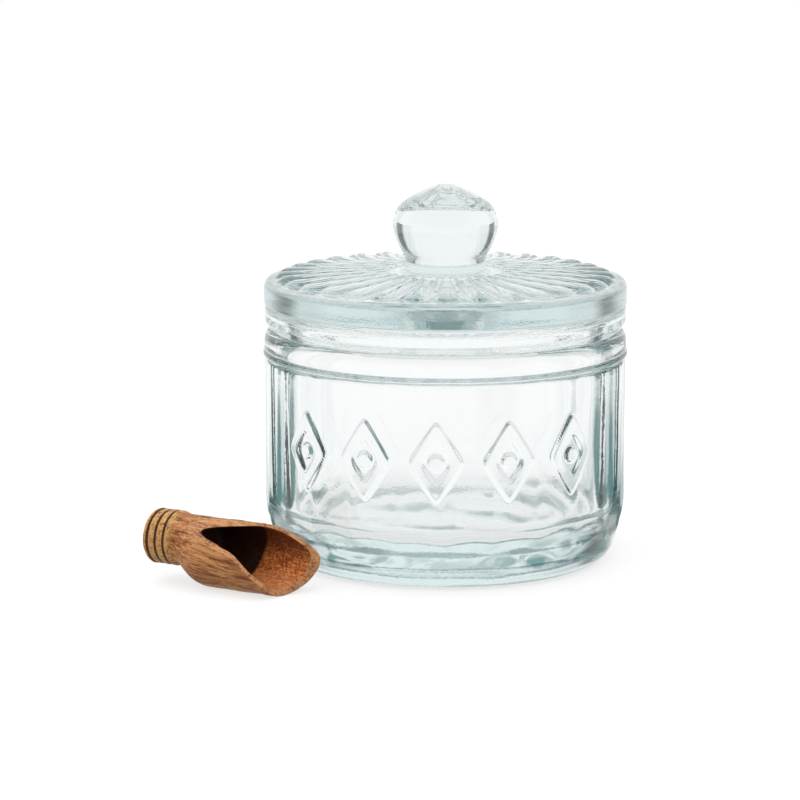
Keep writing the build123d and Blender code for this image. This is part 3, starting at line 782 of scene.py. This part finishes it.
def pressed_glass(name, density, tint, skin_depth, rough_zone, seed_depth, painted_swirl_depth):
    """Clear glass with a tinted volume and a finely uneven skin.

    The skin is rougher where the zone's mask is 1. Painted dark swirls, shade that stands in for dark
    surroundings bent through the glass, lie there on the outer wall, seen at a slant.
    """
    glass, shader = make_material(name)
    place_on = shader.node("ShaderNodeTexCoord").outputs["Object"]
    parts = shader.node("ShaderNodeSeparateXYZ", {}, {"Vector": place_on})
    east, north, rise = (Number(shader, parts.outputs[k]) for k in range(3))
    radius = (east * east + north * north) ** 0.5
    rough = rough_zone(radius, rise)
    flattened = shader.node("ShaderNodeMapping", {}, {"Vector": place_on, "Scale": (1, 1, 2.2)}).outputs[0]
    skin = shader.number("ShaderNodeTexNoise", {}, {"Vector": flattened, "Scale": SKIN_SCALE, "Detail": 3.0})
    seeds = shader.number("ShaderNodeTexNoise", {}, {"Vector": flattened, "Scale": SEED_SCALE, "Detail": 4.0})
    height_map = skin + seed_depth * rough * seeds
    bump = shader.node("ShaderNodeBump", {}, {
        "Strength": skin_depth, "Distance": SKIN_RELIEF, "Height": height_map})
    # The painted swirls of shade lie on the outer wall, and show where it is seen at a slant.
    slant = shader.number("ShaderNodeLayerWeight", {}, {"Blend": 0.5}, "Facing").eased(0.03, 0.30)
    swirl_shade_mask = shader.number("ShaderNodeTexNoise", {}, {
        "Vector": flattened, "Scale": SWIRL_SCALE, "Detail": 4.0, "Distortion": 1.6}).eased(0.38, 0.60)
    outer = radius.eased(51 * MM, 54 * MM) * rise.eased(4 * MM, 7 * MM)
    surface = shader.node("ShaderNodeBsdfPrincipled", {}, {
        "Base Color": shader.blend(rough * outer * slant * swirl_shade_mask * painted_swirl_depth, (1, 1, 1, 1), SWIRL_PAINTED_SHADE_COLOUR),
        "Roughness": 0.0, "IOR": GLASS_IOR, "Transmission Weight": 1.0, "Normal": bump.outputs[0]})
    body = shader.node("ShaderNodeVolumeAbsorption", {}, {"Color": tint, "Density": density})
    shader.node("ShaderNodeOutputMaterial", {}, {"Surface": surface.outputs[0], "Volume": body.outputs[0]})
    return glass


def base_zone(radius, rise):
    """1 on the jar's thick base, inside and out, and 0 above it."""
    return 1 - rise.eased(12 * MM, 18 * MM)


def band_zone(radius, rise):
    """1 on the lid's upper band and 0 elsewhere."""
    above_groove = rise.eased((groove_level - 1) * MM, (groove_level + 1) * MM)
    return radius.eased(57 * MM, 59 * MM) * above_groove


jar_glass = pressed_glass("jar_glass_skin", density=3.1, tint=(0.12, 0.52, 0.52, 1), skin_depth=0.04,
                          rough_zone=base_zone, seed_depth=2.2, painted_swirl_depth=1.0)
lid_glass = pressed_glass("lid_glass_skin", density=4.3, tint=(0.14, 0.48, 0.48, 1), skin_depth=0.06,
                          rough_zone=band_zone, seed_depth=4.5, painted_swirl_depth=0.0)
jar.data.materials.append(jar_glass)
lid.data.materials.append(lid_glass)
print("glass on", jar.name, "and", lid.name)

# %% [markdown]
# ## Wood
# The scoop is cut from a warm brown hardwood. Its grain runs along the scoop: broad pale and dark bands,
# and short dark pores stretched along the length. The bore is redder. Its light and shade are painted on:
# painted shadow makes it almost black where it is deep, painted shade darkens its far wall, and painted
# light brightens its lowest part. Painted shade also darkens the turned grooves.

# %% Wood colours and the wood's own directions
GRAIN_TILT = math.radians(9.0)
DARK_BAND = (0.170, 0.045, 0.014)
MIDDLE_BAND = (0.450, 0.175, 0.058)
PALE_BAND = (0.74, 0.375, 0.150)
BORE_DARK = (0.090, 0.012, 0.002)
BORE_MIDDLE = (0.400, 0.095, 0.016)
BORE_PALE = (0.86, 0.33, 0.10)
HANDLE_PALER_TONE = (0.88, 0.51, 0.18, 1)
CUT_WOOD = (0.64, 0.33, 0.17, 1)
PORE_SHADE = (0.070, 0.020, 0.007, 1)
CRACK_SHADE = (0.075, 0.022, 0.007, 1)
GROOVE_PAINTED_SHADE = (0.022, 0.006, 0.002, 1)
FAR_WALL_PAINTED_SHADE = (0.045, 0.009, 0.003, 1)
BORE_FLOOR_PAINTED_LIGHT = (0.78, 0.34, 0.15, 1)
DEEP_BORE_PAINTED_SHADOW = (0.010, 0.002, 0.001, 1)
WOOD_RELIEF = 0.0003
wood, shader = make_material("turned_wood")
place_on = shader.node("ShaderNodeTexCoord").outputs["Object"]
along = shader.node("ShaderNodeMapping", {"vector_type": "TEXTURE"}, {
    "Vector": place_on, "Location": (SCOOP_END[0] * MM, SCOOP_END[1] * MM, BOWL_RADIUS * MM),
    "Rotation": (0, 0, math.radians(SCOOP_TURN)), "Scale": (MM, MM, MM)}).outputs[0]
parts = shader.node("ShaderNodeSeparateXYZ", {}, {"Vector": along})
station = Number(shader, parts.outputs[0])
side = Number(shader, parts.outputs[1])
up = Number(shader, parts.outputs[2])
grain_way = shader.node("ShaderNodeMapping", {"vector_type": "POINT"}, {
    "Vector": along, "Rotation": (0, -GRAIN_TILT, 0)}).outputs[0]


def stretched(scale_along, scale_across, detail, seed, roughness=0.6):
    """Noise in the wood's own millimetres, drawn out along the grain."""
    vector = shader.node("ShaderNodeVectorMath", {"operation": "MULTIPLY"}, {
        0: grain_way, 1: (scale_along, scale_across, scale_across)}).outputs[0]
    return shader.number("ShaderNodeTexNoise", {"noise_dimensions": "4D"}, {
        "Vector": vector, "W": seed, "Scale": 1.0, "Detail": detail, "Roughness": roughness})


# %% Outside of the wood
bands = stretched(0.04, 0.30, 3.0, 1.0)
streaks = stretched(0.13, 1.3, 4.0, 2.0)
pores = stretched(0.45, 2.6, 2.0, 3.0).eased(0.565, 0.65)
cracks = stretched(1.6, 0.8, 3.0, 4.0).eased(0.555, 0.64)
tone = (0.45 * bands + 0.55 * streaks).eased(0.36, 0.64)
colour = shader.node("ShaderNodeValToRGB", {"stops": [
    (0.0, DARK_BAND), (0.42, MIDDLE_BAND), (1.0, PALE_BAND)]}, {"Fac": tone}).outputs[0]
# The handle end is painted paler and yellower than the body.
on_handle = 1 - station.eased(9.2, 12.0)
colour = shader.blend(on_handle * 0.46, colour, HANDLE_PALER_TONE)
colour = shader.blend(pores * 0.82, colour, PORE_SHADE)
colour = shader.blend(cracks * on_handle * 0.80, colour, CRACK_SHADE)
cut_face = shader.number("ShaderNodeAttribute", {"attribute_name": "cut_face"}, {}, "Fac")
speckle = stretched(0.9, 1.6, 3.0, 8.0, 0.7)
pale = (0.75 - 1.1 * speckle.eased(0.40, 0.66)).larger(0)
colour = shader.blend(cut_face * pale, colour, CUT_WOOD)

# %% Inside of the bowl
BORE_STEP = 32.5
BORE_LEAN = 6.0
hollow = shader.number("ShaderNodeAttribute", {"attribute_name": "drilled"}, {}, "Fac").eased(0.35, 0.65)
mottle = stretched(1.1, 1.3, 4.0, 6.0, 0.7)
inside = shader.node("ShaderNodeValToRGB", {"stops": [
    (0.37, BORE_DARK), (0.48, BORE_MIDDLE), (0.62, BORE_PALE)]},
    {"Fac": 0.70 * mottle + 0.30 * streaks}).outputs[0]
# Painted shade: the upper part of the bore's far wall is darkened.
far_wall_shade = up.eased(-5.0, 5.0) * side.eased(0.0, 6.0)
inside = shader.blend(far_wall_shade * 0.75, inside, FAR_WALL_PAINTED_SHADE)
# Painted light: the lowest part of the bore, which faces up, is made paler.
bore_floor_light = 1 - up.eased(-8.8, -4.5)
inside = shader.blend(bore_floor_light * 0.38, inside, BORE_FLOOR_PAINTED_LIGHT)
colour = shader.blend(hollow, colour, inside)
# Painted shadow: behind a leaning ring, the deep part of the bore is darkened almost to black.
past_step = station - BORE_LEAN * (up + DRILL_RADIUS) / (2 * DRILL_RADIUS) - BORE_STEP
deep_shadow = hollow * (1 - past_step.eased(-0.7, 0.7))
colour = shader.blend(deep_shadow * 0.95, colour, DEEP_BORE_PAINTED_SHADOW)

# %% Turned grooves and finish
along_groove = (station - GROOVE_FIRST) / GROOVE_PITCH + 0.5
in_groove = shader.number("ShaderNodeMath", {"operation": "FRACT"}, {0: along_groove})
near_groove = 1 - ((in_groove - 0.5).size() * GROOVE_PITCH).eased(0.30, 0.66)
by_grooves = 1 - station.eased(9.2, 9.6)
# Painted shade darkens the wood in and beside the turned grooves.
colour = shader.blend(near_groove * by_grooves * 0.94, colour, GROOVE_PAINTED_SHADE)
height_map = 0.6 * streaks + 0.5 * mottle - 0.8 * pores
bump = shader.node("ShaderNodeBump", {}, {"Strength": 0.45, "Distance": WOOD_RELIEF, "Height": height_map})
surface = shader.node("ShaderNodeBsdfPrincipled", {}, {
    "Base Color": colour, "Roughness": 0.60 - 0.15 * streaks, "Specular IOR Level": 0.20,
    "Normal": bump.outputs[0]})
shader.node("ShaderNodeOutputMaterial", {}, {"Surface": surface.outputs[0]})
scoop.data.materials.clear()
scoop.data.materials.append(wood)
print("wood nodes", len(wood.node_tree.nodes))

# %% [markdown]
# ## The white table and the light
# Glass shows only what surrounds it, so the surroundings are the light. The table and the space behind are
# white, as in a light tent. Dark cards at the sides draw the edges of the glass, and the front, the space
# overhead and the upper sides are darker, which gives the knob, the rays and the lid's band their shades.
# The eye sees only white there: the cards show in mirrored and bent rays alone. The table's white comes
# mostly from its own glow, and it still takes the soft shadows of the pieces.

# %% Dark cards
# Each card is its centre and half width in degrees from +X, the softness of its edges, and how dark it is.
# The fill light is a brighter part of the dome, given in the same way.
TABLE_CARDS = ((29, 12, 3, 1.0), (48, 10, 4, 0.4), (151, 12, 4, 1.0))
SKY_CARDS = ((37, 9, 4, 1.0), (52, 7, 4, 0.15), (142, 8, 4, 1.0), (127, 8, 4, 0.12))
TABLE_CARD_COLOUR = (0.09, 0.19, 0.19, 1)
SKY_CARD_COLOUR = (0.15, 0.155, 0.155, 1)
OVERHEAD_COLOUR = (0.30, 0.42, 0.41, 1)
UPPER_SIDES = ((35, 22, 8, 0.8), (146, 20, 8, 0.8))
FRONT_CARD = ((270, 55, 25, 1.0),)
FILL_LIGHT = ((200, 70, 40, 1.0),)
TABLE_GLOW = 0.69
TABLE_EXTRA_GLOW = 0.06
TABLE_DIFFUSE_GLOW = 0.18
TABLE_MATT = (0.20, 0.20, 0.20, 1)
TABLE_MATT_SEEN = (0.35, 0.35, 0.35, 1)
TABLE_MATT_CARD = (0.04, 0.08, 0.08, 1)


def dark_cards(turned, cards):
    """How dark it is at an angle round the horizon, in degrees from +X: 0 away from every card."""
    dark = None
    for centre, half_width, edge, depth in cards:
        off = (turned - centre).size()
        off = off.smaller(360 - off)
        card = (1 - off.eased(half_width - edge, half_width + edge)) * depth
        dark = card if dark is None else dark.larger(card)
    return dark


def angle_round(shader, north, east):
    """The angle round the horizon in degrees, from -180 to 180."""
    return shader.number("ShaderNodeMath", {"operation": "ARCTAN2"}, {0: north, 1: east}) * (180 / math.pi)


# %% Table
bpy.ops.mesh.primitive_circle_add(vertices=96, radius=3.0, fill_type="NGON", location=(0, 0, -0.1 * MM))
table = bpy.context.object
table.name = "table"
white, shader = make_material("white_table")
paths = shader.node("ShaderNodeLightPath")
is_camera = Number(shader, paths.outputs["Is Camera Ray"])
is_diffuse = Number(shader, paths.outputs["Is Diffuse Ray"])
place_on = shader.node("ShaderNodeTexCoord").outputs["Object"]
parts = shader.node("ShaderNodeSeparateXYZ", {}, {"Vector": place_on})
east, north = (Number(shader, parts.outputs[k]) for k in range(2))
turned = angle_round(shader, north, east)
distance = (east * east + north * north) ** 0.5
card_reach = distance.eased(0.056, 0.066) * (1 - distance.eased(0.22, 0.40))
seen = (1 - is_camera) * (1 - is_diffuse) * dark_cards(turned, TABLE_CARDS) * card_reach
matt = shader.node("ShaderNodeBsdfDiffuse", {}, {
    "Color": shader.blend(is_camera, shader.blend(seen, TABLE_MATT, TABLE_MATT_CARD), TABLE_MATT_SEEN)})
glow = shader.node("ShaderNodeEmission", {}, {
    "Color": shader.blend(seen, (1, 1, 1, 1), TABLE_CARD_COLOUR),
    "Strength": TABLE_GLOW + TABLE_EXTRA_GLOW - TABLE_EXTRA_GLOW * is_camera
    - (TABLE_GLOW + TABLE_EXTRA_GLOW - TABLE_DIFFUSE_GLOW) * is_diffuse})
mixed = shader.node("ShaderNodeAddShader", {}, {0: matt.outputs[0], 1: glow.outputs[0]})
shader.node("ShaderNodeOutputMaterial", {}, {"Surface": mixed.outputs[0]})
table.data.materials.append(white)

# %% Surroundings
world = bpy.data.worlds.new("light_tent")
bpy.context.scene.world = world
world.use_nodes = True
shader = Shader(world.node_tree)
direction = shader.node("ShaderNodeTexCoord").outputs["Generated"]
parts = shader.node("ShaderNodeSeparateXYZ", {}, {"Vector": direction})
east, north, rise = (Number(shader, parts.outputs[k]) for k in range(3))
turned = angle_round(shader, north, east)
paths = shader.node("ShaderNodeLightPath")
is_camera = Number(shader, paths.outputs["Is Camera Ray"])
is_diffuse = Number(shader, paths.outputs["Is Diffuse Ray"])

low_sky = 1 - rise.eased(0.45, 0.75)
seen = (1 - is_camera) * (1 - is_diffuse) * dark_cards(turned, SKY_CARDS) * low_sky
behind = 1 - ((turned - 90).size()).eased(25, 50)
beside = dark_cards(turned, UPPER_SIDES) * rise.eased(0.48, 0.56)
above = (behind * rise.eased(0.80, 0.85)).larger(beside)
front = dark_cards(turned, FRONT_CARD) * rise.eased(0.12, 0.40) * (1 - rise.eased(0.80, 0.92))
overhead = 1 - 0.22 * rise.eased(0.35, 0.95) - 0.50 * front
dome = 0.36 + 1.05 * rise.eased(-0.1, 0.9) + 0.20 * dark_cards(turned, FILL_LIGHT)
strength = is_camera + (1 - is_camera) * (is_diffuse * dome + (1 - is_diffuse) * overhead)
above = above * (1 - is_camera) * (1 - is_diffuse)
sky_colour = shader.blend(seen, shader.blend(above, (1, 1, 1, 1), OVERHEAD_COLOUR), SKY_CARD_COLOUR)
sky = shader.node("ShaderNodeBackground", {}, {"Color": sky_colour, "Strength": strength})
shader.node("ShaderNodeOutputWorld", {}, {"Surface": sky.outputs[0]})

# %% [markdown]
# ## Settings
# Thick glass needs many bounces before its light paths end, or it fills with black.

# %% Settings and hand-over
scene = bpy.context.scene
scene.view_settings.view_transform = "Standard"
scene.cycles.max_bounces = 24
scene.cycles.transmission_bounces = 24
scene.cycles.glossy_bounces = 12
scene.cycles.diffuse_bounces = 4
scene.cycles.transparent_max_bounces = 12

for piece, node_name, slot_name in (
        (jar, "jar", "jar_glass"), (lid, "lid", "lid_glass"), (scoop, "scoop", "scoop_wood")):
    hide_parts(node_name)
    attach(piece, node_name)
    print(piece.name, "rides on the body", node_name)
